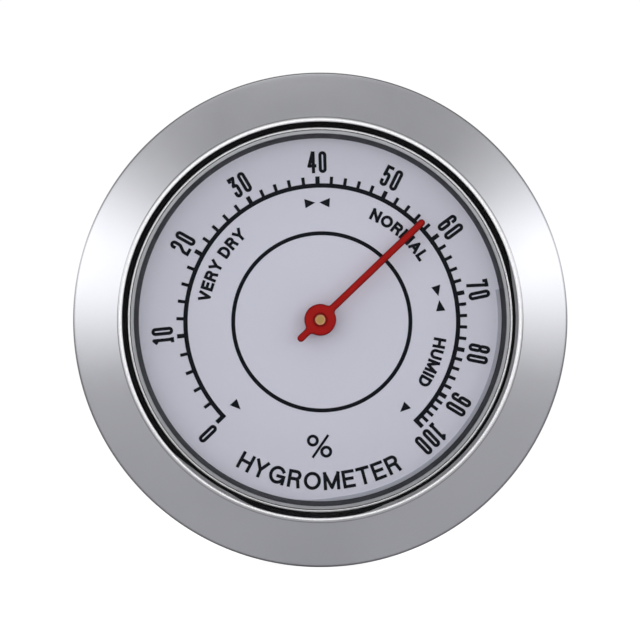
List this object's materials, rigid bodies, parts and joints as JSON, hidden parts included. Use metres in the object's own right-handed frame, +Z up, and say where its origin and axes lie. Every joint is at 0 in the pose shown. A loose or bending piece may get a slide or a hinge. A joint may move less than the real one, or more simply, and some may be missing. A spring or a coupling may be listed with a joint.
{
  "type": "dial hygrometer",
  "caption": "Round panel-mounting dial hygrometer: satin metal bezel, glazed dial, red pointer and a sensing-coil movement in a ribbed push-fit case with rear vents.",
  "frame": {"origin": "centre of the panel hole, in the plane where the bezel's rear face rests on the panel", "axes": "+Y along the instrument's axis from the dial to the back, +Z up as the dial is read, +X to the reader's right"},
  "size_m": [0.07, 0.0213, 0.07],
  "materials": {
    "satin_chrome": "satin",
    "clear_lens": "gloss",
    "black_rubber": "matte",
    "satin_aluminium": "satin",
    "black_plastic": "matte",
    "dial_paint": "satin",
    "black_ink": "matte",
    "red_plastic": "gloss",
    "brass": "satin",
    "steel": "satin",
    "coil_strip": "satin",
    "case_plastic": "satin"
  },
  "bodies": {
    "housing": {"bezel": "satin_chrome", "lens": "clear_lens", "lens_seal": "black_rubber", "trim_ring": "satin_aluminium", "shadow_ring": "black_plastic", "dial_plate": "dial_paint", "scale_print": "black_ink", "front_bush": "brass", "front_plate": "brass", "movement_screws": "steel", "pillars": "brass", "pillar_screws": "steel", "rear_plate": "brass", "friction_washer": "steel", "case_barrel": "case_plastic", "grip_ring": "black_rubber", "rear_cover": "case_plastic", "cover_screws": "steel"},
    "adjuster": {"adjuster_spindle": "brass", "rear_bush": "brass", "regulator_arm": "steel", "coil_stud": "brass", "hygro_coil": "coil_strip"},
    "pointer_shaft": {"pointer": "red_plastic", "arbor": "brass", "coil_collet": "brass"}
  },
  "joints": [
    {"name": "adjuster_turn", "type": "hinge", "parent": "housing", "child": "adjuster", "pos_m": [0, 0, 0], "axis": [0, 1, 0], "range_deg": [-30, 30]},
    {"name": "pointer_turn", "type": "hinge", "parent": "adjuster", "child": "pointer_shaft", "pos_m": [0, 0, 0], "axis": [0, 1, 0], "range_deg": [-179.98, 90.02], "stiffness_Nm_per_rad": 0.00005}
  ]
}
